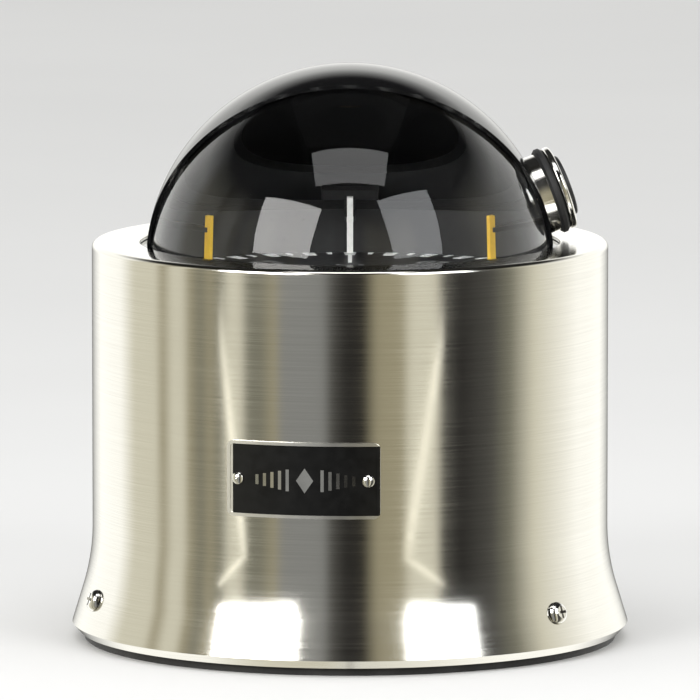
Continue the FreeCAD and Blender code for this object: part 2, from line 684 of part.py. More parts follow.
def bush_pair(name, inner, outer, angles):
    bush = turned(name + "_bush", ring_outline("pin_radius + fit", "bush_radius", inner, outer))
    return keep(level_pair(name, bush, angles), name)


FORE_AND_AFT = (90, -90)
ATHWART = (0, 180)


def gimbal_carrier():
    ring = turned("carrier_ring", [
        ("carrier_bore", BOWL_TOP), ("dome_radius - 0.5", BOWL_TOP),
        ("dome_radius - 0.5", GLASS_FOOT + " - fit"),
        (INNER_RADIUS + " - 0.2", GLASS_FOOT + " - fit"),
        (INNER_RADIUS + " - 0.2", GLASS_FOOT + " + 2"), ("carrier_bore", GLASS_FOOT + " + 2")])
    post = box("carrier_post", 2.7, 9, (GLASS_FOOT + " + 1", "centre_height + 4.5"))
    bind(post, "Placement.Base.x", "carrier_bore + 2 * gap")
    posts = around("carrier_posts", post, FORE_AND_AFT)
    bore = cylinder("carrier_bore", "pin_radius + fit", 12, "60")
    return keep(cut("gimbal_carrier", fuse("carrier_blank", [ring, posts]),
                    [level_pair("carrier_bores", bore, FORE_AND_AFT)]), "gimbal_carrier")


def gimbal_ring():
    ring = turned("gimbal_blank", ring_outline("gimbal_inner", "gimbal_outer",
                                               "centre_height - ring_half", "centre_height + ring_half"))
    pin_bore = cylinder("gimbal_pin_bore", "pin_radius + fit", 12, "gimbal_inner - 4")
    bush_bore = cylinder("gimbal_bush_bore", "bush_radius + fit", 12, "gimbal_inner - 4")
    return keep(cut("gimbal_ring", ring, [level_pair("gimbal_pin_bores", pin_bore, ATHWART),
                                          level_pair("gimbal_bush_bores", bush_bore, FORE_AND_AFT)]),
                "gimbal_ring")


def card_frame():
    ring = turned("frame_ring", ring_outline("frame_inner", "frame_outer",
                                             "centre_height - frame_half", "centre_height + frame_half"))
    shell = cut("frame_shell", sphere("frame_ball", "frame_outer"),
                [sphere("frame_hollow", "frame_inner + 0.5")])
    floor = "centre_height - frame_outer - 1"
    waist = "centre_height - 3"
    strips = fuse("frame_strips", [
        box("frame_strip_x", "3 * frame_outer", "rib_width", (floor, waist)),
        box("frame_strip_y", "rib_width", "3 * frame_outer", (floor, waist))])
    ribs = doc.addObject("Part::MultiCommon", "frame_ribs")
    ribs.Shapes = [shell, strips]
    boss = turned("frame_boss", ring_outline("pin_radius + 1.5 + fit", "2 * hub_radius",
                                             "centre_height - 57", "centre_height - ballast_top"))
    blank = fuse("frame_blank", [ring, ribs, boss])
    bush_bore = cylinder("frame_bush_bore", "bush_radius + fit", 12, "frame_inner - 4")
    return keep(cut("card_frame", blank, [level_pair("frame_bush_bores", bush_bore, ATHWART)]),
                "card_frame")


def card_support():
    keep(turned("ballast", ring_outline("2 * hub_radius + gap", "ballast_radius",
                                        "centre_height - ballast_bottom",
                                        "centre_height - ballast_top")), "ballast")
    keep(turned("pivot_post", [
        (0, "centre_height - 54"), ("pin_radius + 1.5", "centre_height - 54"),
        ("pin_radius + 1.5", "centre_height - 43"), ("pin_radius", "centre_height - 40"),
        ("pin_radius", "centre_height - pivot_height"), (0, "centre_height - pivot_height")]),
        "pivot_post")
    keep(turned("pivot_tip", [
        (0, "centre_height - pivot_height"), (1.2, "centre_height - pivot_height"),
        (0, "centre_height - 3.7")]),
        "pivot_tip")


CARD_TOP = "(centre_height - card_drop)"


def lubber_post(name, angle, top):
    """Upright sighting post over the card's edge, on an arm that reaches in from the frame's rim."""
    post = box(name + "_post", "lubber_width", "lubber_width", (CARD_TOP + " + 5 * gap", top))
    bind(post, "Placement.Base.x", "lubber_radius - lubber_width / 2")
    arm = box(name + "_arm", "frame_outer - lubber_radius", "2",
              ("centre_height + frame_half", "centre_height + frame_half + 1"))
    bind(arm, "Placement.Base.x", "lubber_radius")
    blank = fuse(name + "_blank", [post, arm])
    return copy_of(blank, name + "_turned", about_z(angle))


def lubber_lines():
    top = "centre_height + lubber_top"
    forward = group("lubber_line_forward", [lubber_post("lubber_forward", 90, top)])
    keep(forward, "lubber_line_forward")
    sides = group("lubber_lines_side", [lubber_post("lubber_port", 135, top + " - 1.5"),
                                        lubber_post("lubber_starboard", 45, top + " - 1.5")])
    keep(sides, "lubber_lines_side")


# ---------------------------------------------------------------- card and its magnets

def card():
    keep(turned("compass_card", [
        ("hub_radius + gap", CARD_TOP + " - 1"), ("card_radius - 1", CARD_TOP + " - 1"),
        ("card_radius - 1", CARD_TOP + " - card_rim"), ("card_radius", CARD_TOP + " - card_rim"),
        ("card_radius", CARD_TOP), ("hub_radius + gap", CARD_TOP)]), "compass_card")
    keep(turned("card_hub", [
        (0, CARD_TOP + " + 1"), (0, CARD_TOP + " + 0.5"), (2.1, CARD_TOP + " + 0.5"),
        (2.1, CARD_TOP + " - 9"), ("hub_radius", CARD_TOP + " - 9"),
        ("hub_radius", CARD_TOP + " + fit"),
        (6, CARD_TOP + " + fit"), (6, CARD_TOP + " + 1")]), "card_hub")
    keep(turned("jewel_cup", [
        (0, CARD_TOP + " + 0.4"), (0, "centre_height - 3.5"), (1.5, "centre_height - 5"),
        (2, "centre_height - 5"), (2, CARD_TOP + " + 0.4")]), "jewel_cup")
    keep(turned("magnet_carrier", ring_outline("hub_radius + gap", 20, CARD_TOP + " - 8.5",
                                               CARD_TOP + " - 6.5")), "magnet_carrier")
    magnets = []
    for side in (-1, 1):
        bar = box("card_magnet_%s" % ("east" if side > 0 else "west"), "card_bar_width",
                  "card_bar_length",
                  (CARD_TOP + " - 11.5 - fit", CARD_TOP + " - 8.5 - fit"))
        bind(bar, "Placement.Base.x", "%d * card_bar_offset - card_bar_width / 2" % side)
        magnets.append(bar)
    keep(group("card_magnets", magnets), "card_magnets")


# ---------------------------------------------------------------- compensator

def compensator():
    bridge = box("bridge_blank", "bridge_length", "bridge_width", ("base_flange_top", "block_bottom"))
    bridge_circle = value("bridge_circle")
    block_circle = value("block_circle")
    bridge_holes = around("bridge_end_holes", bridge_hole, ENDS, bridge_circle,
                          value("block_bottom"))
    block_hole_up = copy_of(block_hole, "block_hole_flip", FreeCAD.Placement(
        Vector(0, 0, 0), FreeCAD.Rotation(Vector(1, 0, 0), 180)))
    under = value("base_flange_top + gap")
    block_holes = around("bridge_block_holes", block_hole_up, ENDS, block_circle, under)
    keep(cut("compensator_bridge", bridge, [bridge_holes, block_holes]), "compensator_bridge")
    keep(around("bridge_screws", bridge_screw, ENDS, bridge_circle, value("block_bottom - gap")),
         "bridge_screws")
    block_screw_up = copy_of(block_screw, "block_screw_flip", FreeCAD.Placement(
        Vector(0, 0, 0), FreeCAD.Rotation(Vector(1, 0, 0), 180)))
    keep(around("block_screws", block_screw_up, ENDS, block_circle, under), "block_screws")

    block = box("block_blank", "block_size", "block_size", ("block_bottom", "block_top"))
    bores = [copy_of(cylinder("fore_aft_bore", "shaft_radius + fit", "2 * block_size", "-block_size"),
                     "fore_aft_way", lying(90, "fore_aft_height")),
             copy_of(cylinder("athwart_bore", "shaft_radius + fit", "2 * block_size", "-block_size"),
                     "athwart_way", lying(0, "athwart_height"))]
    block_bores = around("block_screw_bores", block_hole_up, ENDS, block_circle, under)
    keep(cut("compensator_block", block, bores + [block_bores]), "compensator_block")

    for name, angle, height in (("fore_aft", 90, "fore_aft_height"),
                                ("athwart", 0, "athwart_height")):
        compensator_shaft(name, angle, height)


def compensator_shaft(name, angle, height):
    """Slotted shaft with two bar magnets let in across it."""
    half = "shaft_length / 2"
    rod = turned(name + "_rod", [
        (0, "-(%s)" % half), ("shaft_radius - 0.8", "-(%s)" % half),
        ("shaft_radius", "-(%s) + 0.8" % half), ("shaft_radius", half + " - 0.8"),
        ("shaft_radius - 0.8", half), (0, half)])
    slot = box(name + "_slot", "1.2", "3 * shaft_radius", (half + " - 2", half + " + 1"))
    slot_back = box(name + "_slot_back", "1.2", "3 * shaft_radius",
                    ("-(%s) - 1" % half, "-(%s) + 2" % half))
    bar = cylinder(name + "_bar", "bar_radius", "2 * shaft_radius - 2", "1 - shaft_radius")
    bore = cylinder(name + "_bar_bore", "bar_radius + fit", "3 * shaft_radius", "-1.5 * shaft_radius")
    across = FreeCAD.Rotation(Vector(0, 1, 0), 90)
    offset = value("bar_offset")
    places = [FreeCAD.Placement(Vector(0, 0, at), across) for at in (-offset, offset)]
    bores = [copy_of(bore, "%s_bar_way_%d" % (name, index + 1), place)
             for index, place in enumerate(places)]
    shaft = cut(name + "_shaft_blank", rod, [slot, slot_back] + bores)
    keep(group(name + "_shaft", [copy_of(shaft, name + "_shaft_place", lying(angle, height))]),
         name + "_shaft")
    bars = group(name + "_bars", [copy_of(bar, "%s_bar_%d" % (name, index + 1), place)
                                  for index, place in enumerate(places)])
    keep(group(name + "_magnets", [copy_of(bars, name + "_magnets_place", lying(angle, height))]),
         name + "_magnets")


# ---------------------------------------------------------------- fasteners and their tools

post_screw = screw("post_screw", "2", "14", "4", "flat")
post_hole = hole_for("post_hole_tool", "2", "16", "4")
skirt_screw = screw("skirt_screw", "2", "9", "4.2", "pan")
skirt_hole = hole_for("skirt_hole_tool", "2", "14")
bezel_screw = screw("bezel_screw", "2", "30", "4", "flat")
bezel_hole = hole_for("bezel_hole_tool", "2", "40", "4")
bezel_bore_tool = cylinder("bezel_bore_tool", "2 + gap", "8")
bridge_screw = screw("bridge_screw", "2", "8", "4", "flat")
bridge_hole = hole_for("bridge_hole_tool", "2", "8.5", "4")
block_screw = screw("block_screw", "1.5", "9", "3", "flat")
block_hole = hole_for("block_hole_tool", "1.5", "10", "3")
small_screw = screw("small_screw", "1.5", "8", "2.8", "pan")
port_tool = fuse("port_tool", [
    cylinder("port_bore", "port_radius + fit", "12", "dome_radius - dome_wall - 2"),
    cylinder("port_spot_face", "port_radius + 3.2", "6", "dome_radius - 0.5")])

for build in (base_gasket, base_ring, support_posts, post_screws, support_ring, housing, nameplate,
              nameplate_pins, bowl, dome_gasket, dome, bezel_ring, bezel_screws, glide_ring,
              diaphragm, diaphragm_cover, diaphragm_screws, ports, sun_shield, knob_stack,
              gimbal_carrier, gimbal_ring, card_frame, card_support, lubber_lines, card, compensator):
    build()
keep(skirt_screw_places(skirt_screw, "housing_screws"), "housing_screws")
pin_pair("gimbal_pivots", "gimbal_inner + 0.5", "dome_radius - dome_wall - 1.5", FORE_AND_AFT)
pin_pair("frame_pivots", "frame_inner - 0.5", "gimbal_outer - 0.3", ATHWART)
bush_pair("gimbal_bushes", "gimbal_inner", "gimbal_outer", FORE_AND_AFT)
bush_pair("frame_bushes", "frame_inner", "frame_outer", ATHWART)
doc.recompute()

# ---------------------------------------------------------------- check, then write

for item in doc.Objects:
    if "Invalid" in item.State or "Error" in item.State:
        raise RuntimeError("failed object: %s %s" % (item.Name, item.State))
for item in sub_parts:
    shape = item.Shape
    if shape.isNull() or not shape.isValid() or not shape.Solids:
        raise RuntimeError("bad shape: " + item.Label)
os.makedirs("parts", exist_ok=True)
for item in sub_parts:
    item.Shape.exportStep("parts/%s.step" % item.Label)
print("%d sub-parts written" % len(sub_parts))
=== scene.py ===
import math
import bmesh
import bpy
from mathutils import Matrix, Vector


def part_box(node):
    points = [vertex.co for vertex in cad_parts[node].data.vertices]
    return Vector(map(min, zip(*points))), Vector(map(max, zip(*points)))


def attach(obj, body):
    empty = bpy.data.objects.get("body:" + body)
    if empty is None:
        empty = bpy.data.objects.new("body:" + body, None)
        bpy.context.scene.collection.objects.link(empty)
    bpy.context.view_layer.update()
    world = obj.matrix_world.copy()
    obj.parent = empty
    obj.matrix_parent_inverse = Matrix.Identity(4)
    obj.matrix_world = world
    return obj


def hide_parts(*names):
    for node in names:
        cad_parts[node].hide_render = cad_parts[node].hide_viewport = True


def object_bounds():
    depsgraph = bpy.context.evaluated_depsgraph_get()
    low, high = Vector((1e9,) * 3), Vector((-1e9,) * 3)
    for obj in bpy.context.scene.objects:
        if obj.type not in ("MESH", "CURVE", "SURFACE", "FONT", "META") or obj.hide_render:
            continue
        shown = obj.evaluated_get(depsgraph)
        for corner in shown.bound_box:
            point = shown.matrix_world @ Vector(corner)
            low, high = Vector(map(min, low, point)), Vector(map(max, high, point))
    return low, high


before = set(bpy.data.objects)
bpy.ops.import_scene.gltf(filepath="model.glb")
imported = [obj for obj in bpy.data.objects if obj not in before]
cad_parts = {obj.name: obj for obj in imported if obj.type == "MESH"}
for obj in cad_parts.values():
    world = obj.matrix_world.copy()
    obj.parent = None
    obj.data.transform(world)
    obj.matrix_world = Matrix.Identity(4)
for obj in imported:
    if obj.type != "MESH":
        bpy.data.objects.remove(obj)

# Steering-pedestal compass. Metres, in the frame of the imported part:
# +Z up, -Y towards the helmsman and the camera, +X to starboard.

CAD_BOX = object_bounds()
MM = 0.001


# ---------------------------------------------------------------- places read from the frame

def low(node):
    return Vector(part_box(node)[0])


def high(node):
    return Vector(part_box(node)[1])


CENTRE_Z = (low("gimbal_pivots").z + high("gimbal_pivots").z) / 2
DOME_RADIUS = high("dome").z - CENTRE_Z
DOME_FOOT = low("dome").z
DOME_FLANGE = (high("dome").x - low("dome").x) / 2
BOWL_FLOOR = low("bowl").z
CARD_TOP = high("compass_card").z
CARD_RADIUS = (high("compass_card").x - low("compass_card").x) / 2
PLATE_LOW = low("nameplate")
PLATE_HIGH = high("nameplate")
PLATE_MIDDLE = (PLATE_LOW + PLATE_HIGH) / 2
PLATE_ANGLE = math.atan2(PLATE_LOW.y, PLATE_MIDDLE.x)
HOUSING_TOP = high("housing").z
HOUSING_FOOT = low("housing").z
HOUSING_RADIUS = 96.5 * MM
PLATE_LENGTH = 58 * MM
PLATE_THICKNESS = 1 * MM
PLATE_FIT = 0.05 * MM
PLATE_RADIUS = HOUSING_RADIUS + PLATE_FIT + PLATE_THICKNESS
ENAMEL_INSET = 1.2 * MM
POST_HALF_WIDTH = 0.6 * MM
POST_MARGIN = 0.05 * MM
LUBBER_RADIUS = low("lubber_line_forward").y + POST_HALF_WIDTH
VIEW_ELEVATION = math.radians(7.2)
OBJECT_MIDDLE = (Vector(CAD_BOX[0]) + Vector(CAD_BOX[1])) / 2


# ---------------------------------------------------------------- node helpers

class Nodes:
    """A node tree, with short ways to add and join nodes."""

    def __init__(self, tree):
        self.tree = tree

    def node(self, kind, **settings):
        made = self.tree.nodes.new(kind)
        for key, setting in settings.items():
            setattr(made, key, setting)
        return made

    def join(self, source, target):
        self.tree.links.new(source, target)

    def maths(self, operation, first, second=0.0):
        made = self.node("ShaderNodeMath", operation=operation)
        for index, value in enumerate((first, second)):
            if isinstance(value, (int, float)):
                made.inputs[index].default_value = value
            else:
                self.join(value, made.inputs[index])
        return made.outputs[0]

    def noise(self, vector, scale, detail=3.0, roughness=0.5):
        made = self.node("ShaderNodeTexNoise")
        made.inputs["Scale"].default_value = scale
        made.inputs["Detail"].default_value = detail
        made.inputs["Roughness"].default_value = roughness
        self.join(vector, made.inputs["Vector"])
        return made.outputs["Fac"]

    def spread(self, source, to_low, to_high, from_low=0.3, from_high=0.7):
        made = self.node("ShaderNodeMapRange")
        for key, number in (("From Min", from_low), ("From Max", from_high),
                            ("To Min", to_low), ("To Max", to_high)):
            made.inputs[key].default_value = number
        self.join(source, made.inputs["Value"])
        return made.outputs["Result"]

    def blend(self, factor, first, second):
        """Mix of two colours, each a tuple or a socket."""
        made = self.node("ShaderNodeMix", data_type="RGBA")
        self.join(factor, made.inputs["Factor"])
        for key, colour in ((6, first), (7, second)):
            if isinstance(colour, tuple):
                made.inputs[key].default_value = colour
            else:
                self.join(colour, made.inputs[key])
        return made.outputs[2]


class Shader(Nodes):
    """A new material, its surface shader and the point being shaded."""

    def __init__(self, name):
        self.material = bpy.data.materials.new(name)
        self.material.use_nodes = True
        super().__init__(self.material.node_tree)
        self.surface = self.tree.nodes["Principled BSDF"]

    def set(self, **inputs):
        for key, setting in inputs.items():
            self.surface.inputs[key.replace("_", " ")].default_value = setting

    def place(self):
        """The surface point in the part's own frame, as separate X, Y and Z sockets."""
        point = self.node("ShaderNodeTexCoord").outputs["Object"]
        split = self.node("ShaderNodeSeparateXYZ")
        self.join(point, split.inputs[0])
        return point, split.outputs[0], split.outputs[1], split.outputs[2]

    def bump(self, height, strength, distance):
        made = self.node("ShaderNodeBump")
        made.inputs["Strength"].default_value = strength
        made.inputs["Distance"].default_value = distance
        self.join(height, made.inputs["Height"])
        self.join(made.outputs[0], self.surface.inputs["Normal"])


def grey(level):
    return (level, level, level, 1)


# ---------------------------------------------------------------- materials

def turned_grain(shader, pitch):
    """Vector whose noise runs in fine rings round the part's axis, as lathe or belt marks do."""
    point, x, y, z = shader.place()
    radius = shader.maths("SQRT", shader.maths("ADD", shader.maths("MULTIPLY", x, x),
                                               shader.maths("MULTIPLY", y, y)))
    along = shader.maths("MULTIPLY", shader.maths("SUBTRACT", z, radius), 1 / pitch)
    joined = shader.node("ShaderNodeCombineXYZ")
    shader.join(shader.maths("MULTIPLY", x, 14.0), joined.inputs[0])
    shader.join(shader.maths("MULTIPLY", y, 14.0), joined.inputs[1])
    shader.join(along, joined.inputs[2])
    return point, joined.outputs[0]


def satin_steel():
    """Belt-finished stainless sheet: warm, with fine rings and cloudy wipe marks."""
    shader = Shader("satin_steel")
    point, grain_at = turned_grain(shader, 0.35 * MM)
    grain = shader.noise(grain_at, 1.0, 4.0, 0.7)
    cloud = shader.noise(point, 28.0, 4.0, 0.6)
    dark_ring = (0.60, 0.585, 0.54, 1)
    light_ring = (0.68, 0.665, 0.62, 1)
    colour = shader.blend(shader.spread(grain, 0.0, 1.0), dark_ring, light_ring)
    shader.join(colour, shader.surface.inputs["Base Color"])
    rough = shader.maths("ADD", shader.spread(grain, 0.07, 0.14), shader.spread(cloud, 0.0, 0.04))
    shader.join(rough, shader.surface.inputs["Roughness"])
    shader.set(Metallic=1.0)
    shader.bump(grain, 0.07, 0.02 * MM)
    return shader.material


def metal(name, colour, roughness, wear=0.06):
    """Machined metal with faint turning marks and uneven polish."""
    shader = Shader(name)
    point, grain_at = turned_grain(shader, 0.12 * MM)
    grain = shader.noise(grain_at, 1.0, 3.0)
    cloud = shader.noise(point, 160.0, 4.0)
    darker = tuple(0.82 * part for part in colour[:3]) + (1,)
    shader.join(shader.blend(shader.spread(cloud, 0.0, 1.0), darker, colour),
                shader.surface.inputs["Base Color"])
    rough = shader.maths("ADD", shader.spread(grain, roughness, roughness + wear),
                         shader.spread(cloud, 0.0, wear))
    shader.join(rough, shader.surface.inputs["Roughness"])
    shader.set(Metallic=1.0)
    shader.bump(grain, 0.06, 0.02 * MM)
    return shader.material


def plastic(name, colour, roughness, texture=0.05, coat=0.0):
    """Moulded plastic with a fine spark texture and slight colour drift."""
    shader = Shader(name)
    point = shader.place()[0]
    fine = shader.noise(point, 900.0, 2.0)
    broad = shader.noise(point, 35.0, 4.0)
    lighter = tuple(min(1.0, part * 1.35 + 0.003) for part in colour[:3]) + (1,)
    shader.join(shader.blend(shader.spread(broad, 0.0, 1.0), colour, lighter),
                shader.surface.inputs["Base Color"])
    rough = shader.maths("ADD", shader.spread(fine, roughness, roughness + 0.08),
                         shader.spread(broad, 0.0, 0.05))
    shader.join(rough, shader.surface.inputs["Roughness"])
    shader.set(Coat_Weight=coat, Coat_Roughness=0.03)
    shader.bump(fine, texture, 0.05 * MM)
    return shader.material


def rubber():
    shader = Shader("black_rubber")
    point = shader.place()[0]
    fine = shader.noise(point, 1400.0, 3.0)
    bloom = shader.noise(point, 60.0, 5.0)
    shader.join(shader.blend(shader.spread(bloom, 0.0, 1.0, 0.45, 0.8), (0.012, 0.012, 0.013, 1),
                             (0.035, 0.034, 0.033, 1)), shader.surface.inputs["Base Color"])
    shader.join(shader.spread(fine, 0.55, 0.75), shader.surface.inputs["Roughness"])
    shader.bump(fine, 0.25, 0.06 * MM)
    return shader.material


def smoked_shield():
    """Black acrylic, polished, with the faintest haze and dust."""
    shader = Shader("black_acrylic")
    point = shader.place()[0]
    haze = shader.noise(point, 22.0, 5.0, 0.6)
    dust = shader.noise(point, 700.0, 2.0)
    shader.join(shader.blend(shader.spread(dust, 0.0, 1.0, 0.66, 0.8), (0.004, 0.004, 0.0045, 1),
                             (0.02, 0.02, 0.02, 1)), shader.surface.inputs["Base Color"])
    shader.join(shader.spread(haze, 0.05, 0.11), shader.surface.inputs["Roughness"])
    shader.bump(haze, 0.02, 0.1 * MM)
    return shader.material


def globe_glass():
    """Clear acrylic dome and the fluid behind it, as one lens that lamps shine through."""
    shader = Shader("globe_lens")
    point = shader.place()[0]
    haze = shader.noise(point, 30.0, 4.0)
    shader.join(shader.spread(haze, 0.0, 0.012), shader.surface.inputs["Roughness"])
    shader.set(Base_Color=(0.97, 0.985, 0.98, 1), Transmission_Weight=1.0, IOR=1.44)
    path = shader.node("ShaderNodeLightPath")
    clear = shader.node("ShaderNodeBsdfTransparent")
    clear.inputs[0].default_value = grey(0.92)
    choice = shader.node("ShaderNodeMixShader")
    shader.join(path.outputs["Is Shadow Ray"], choice.inputs[0])
    shader.join(shader.surface.outputs[0], choice.inputs[1])
    shader.join(clear.outputs[0], choice.inputs[2])
    shader.join(choice.outputs[0], shader.tree.nodes["Material Output"].inputs["Surface"])
    return shader.material


def plate_enamel():
    """Black enamel in the plate's recess, bright metal on its border and edge."""
    shader = Shader("plate_enamel")
    point, x, y, z = shader.place()
    across = shader.maths("ADD", shader.maths("MULTIPLY", x, -math.sin(PLATE_ANGLE)),
                          shader.maths("MULTIPLY", y, math.cos(PLATE_ANGLE)))
    half_width = PLATE_RADIUS * math.sin((PLATE_LENGTH / 2 - ENAMEL_INSET) / PLATE_RADIUS)
    half_height = (PLATE_HIGH.z - PLATE_LOW.z) / 2 - ENAMEL_INSET
    aside = shader.maths("DIVIDE", shader.maths("ABSOLUTE", across), half_width)
    height = shader.maths("SUBTRACT", z, PLATE_MIDDLE.z)
    above = shader.maths("DIVIDE", shader.maths("ABSOLUTE", height), half_height)
    border = shader.maths("GREATER_THAN", shader.maths("MAXIMUM", aside, above), 1.0)
    wear = shader.noise(point, 240.0, 4.0)
    enamel = shader.blend(shader.spread(wear, 0.0, 1.0), grey(0.003), grey(0.006))
    colour = shader.blend(border, enamel, (0.72, 0.71, 0.68, 1))
    shader.join(colour, shader.surface.inputs["Base Color"])
    shader.join(border, shader.surface.inputs["Metallic"])
    shader.join(shader.spread(wear, 0.28, 0.34), shader.surface.inputs["Roughness"])
    shader.set(Specular_IOR_Level=0.25)
    shader.bump(wear, 0.02, 0.03 * MM)
    return shader.material


def lubber_paint(name, bearing, colour):
    """Painted sighting posts on black arms: the paint stops where the arm starts.

    The bearing is where the post stands, in degrees from the bow to either side.
    """
    shader = Shader(name)
    point, x, y = shader.place()[:3]
    sideways = shader.maths("ABSOLUTE", x)
    turn = math.radians(bearing)
    out = shader.maths("ADD", shader.maths("MULTIPLY", sideways, math.sin(turn)),
                       shader.maths("MULTIPLY", y, math.cos(turn)))
    aside = shader.maths("SUBTRACT", shader.maths("MULTIPLY", sideways, math.cos(turn)),
                         shader.maths("MULTIPLY", y, math.sin(turn)))
    past = shader.maths("GREATER_THAN", out, LUBBER_RADIUS + POST_HALF_WIDTH + POST_MARGIN)
    beside = shader.maths("GREATER_THAN", shader.maths("ABSOLUTE", aside), POST_HALF_WIDTH + POST_MARGIN)
    on_arm = shader.maths("MAXIMUM", past, beside)
    fine = shader.noise(point, 900.0, 2.0)
    darker = tuple(0.9 * part for part in colour) + (1,)
    paint = shader.blend(shader.spread(fine, 0.0, 1.0), darker, colour + (1,))
    arm_black = (0.012, 0.012, 0.013, 1)
    shader.join(shader.blend(on_arm, paint, arm_black), shader.surface.inputs["Base Color"])
    shader.join(shader.spread(fine, 0.35, 0.5), shader.surface.inputs["Roughness"])
    return shader.material


def floor_paint():
    shader = Shader("studio_floor")
    point = shader.place()[0]
    soft = shader.noise(point, 3.0, 3.0)
    shader.join(shader.blend(shader.spread(soft, 0.0, 1.0), grey(0.74), grey(0.76)),
                shader.surface.inputs["Base Color"])
    shader.set(Roughness=0.9, Specular_IOR_Level=0.1)
    return shader.material


STEEL = satin_steel()
POLISHED = metal("polished_steel", (0.74, 0.73, 0.70, 1), 0.08)
ALUMINIUM = metal("cast_aluminium", (0.62, 0.62, 0.64, 1), 0.32, 0.1)
BRASS = metal("turned_brass", (0.66, 0.47, 0.20, 1), 0.2, 0.1)
LEAD = metal("lead", (0.16, 0.165, 0.18, 1), 0.5, 0.15)
MAGNET = metal("magnet_steel", (0.12, 0.12, 0.125, 1), 0.4, 0.12)
RUBBER = rubber()
BLACK = plastic("black_moulding", (0.012, 0.012, 0.013, 1), 0.38)
DARK = plastic("inner_black", (0.006, 0.006, 0.0065, 1), 0.55)
CARD_BLACK = plastic("card_black", (0.004, 0.004, 0.005, 1), 0.45, 0.02)
WHITE = plastic("white_ink", (0.80, 0.80, 0.77, 1), 0.45, 0.02)
INK_GREY = plastic("grey_ink", (0.16, 0.16, 0.16, 1), 0.5, 0.02)
GLIDE = plastic("glide_plastic", (0.62, 0.62, 0.60, 1), 0.3)
LED = plastic("red_lens", (0.35, 0.01, 0.01, 1), 0.08, texture=0.0, coat=1.0)
SHIELD = smoked_shield()
GLASS = globe_glass()
PLATE = plate_enamel()
LUBBER = lubber_paint("lubber_white", 0, (0.88, 0.88, 0.85))
SIDE_LUBBER = lubber_paint("lubber_yellow", 45, (0.80, 0.50, 0.04))
FLOOR = floor_paint()

FINISHES = {
    STEEL: ["housing"],
    POLISHED: ["nameplate_pins", "housing_screws", "post_screws", "bezel_screws",
               "diaphragm_screws", "knob_base", "clamp_knob", "pivot_tip"],
    ALUMINIUM: ["support_posts", "support_ring", "compensator_bridge"],
    BRASS: ["gimbal_pivots", "filler_plug", "bridge_screws", "compensator_block", "block_screws",
            "clamp_stud", "gimbal_bushes", "frame_pivots", "frame_bushes", "pivot_post",
            "magnet_carrier", "fore_aft_shaft", "athwart_shaft"],
    LEAD: ["ballast"],
    MAGNET: ["card_magnets", "fore_aft_magnets", "athwart_magnets"],
    RUBBER: ["base_gasket", "dome_gasket", "diaphragm", "filler_seal", "lamp_seal", "knob_pad"],
    BLACK: ["base_ring", "bezel_ring", "lamp_holder", "diaphragm_cover", "knob_cap"],
    DARK: ["bowl", "gimbal_carrier", "gimbal_ring", "card_frame", "card_hub"],
    CARD_BLACK: ["compass_card"],
    SIDE_LUBBER: ["lubber_lines_side"],
    GLIDE: ["glide_ring", "jewel_cup"],
    LED: ["lamp_led"],
    SHIELD: ["sun_shield"],
    PLATE: ["nameplate"],
    LUBBER: ["lubber_line_forward"],
    GLASS: ["dome"],
}
for finish, nodes in FINISHES.items():
    for node in nodes:
        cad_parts[node].data.materials.clear()
        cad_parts[node].data.materials.append(finish)


# ---------------------------------------------------------------- mesh helpers

def piece_from(name, bm, material, body):
    """Finishes a mesh as a named piece that rides on a body."""
    bmesh.ops.remove_doubles(bm, verts=bm.verts, dist=1e-7)
    bmesh.ops.recalc_face_normals(bm, faces=bm.faces)
    mesh = bpy.data.meshes.new(name)
    bm.to_mesh(mesh)
    bm.free()
    mesh.materials.append(material)
    piece = bpy.data.objects.new(name, mesh)
    bpy.context.scene.collection.objects.link(piece)
    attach(piece, body)
    return piece


def lathe(bm, profile, steps=192):
    """Surface turned about Z from a list of (radius, height) points."""
    rings = []
    for radius, height in profile:
        if radius < 1e-9:
            rings.append([bm.verts.new((0, 0, height))])
            continue
        rings.append([bm.verts.new((radius * math.cos(turn), radius * math.sin(turn), height))
                      for turn in (2 * math.pi * step / steps for step in range(steps))])
    for upper, lower in zip(rings, rings[1:]):
        for step in range(steps):
            follow = (step + 1) % steps
            corners = [upper[step % len(upper)], upper[follow % len(upper)],
                       lower[follow % len(lower)], lower[step % len(lower)]]
            corners = list(dict.fromkeys(corners))
            if len(corners) > 2:
                bm.faces.new(corners)


def arc(centre_radius, centre_z, radius, start, end, steps):
    """(radius, height) points on a circle, by angle in degrees from outward to up."""
    points = []
    for step in range(steps + 1):
        angle = math.radians(start + (end - start) * step / steps)
        points.append((centre_radius + radius * math.cos(angle), centre_z + radius * math.sin(angle)))
    return points


def prism(bm, under, over):
    """Closed prism between two outlines that match point for point."""
    lower = [bm.verts.new(point) for point in under]
    upper = [bm.verts.new(point) for point in over]
    bm.faces.new(upper)
    bm.faces.new(list(reversed(lower)))
    for index in range(len(lower)):
        follow = (index + 1) % len(lower)
        bm.faces.new([lower[index], lower[follow], upper[follow], upper[index]])


def smooth_turned(piece):
    """Smooth shading that keeps the edges where turned surfaces meet."""
    piece.data.shade_smooth()
    piece.data.set_sharp_from_angle(angle=math.radians(30))


# ---------------------------------------------------------------- the globe's lens

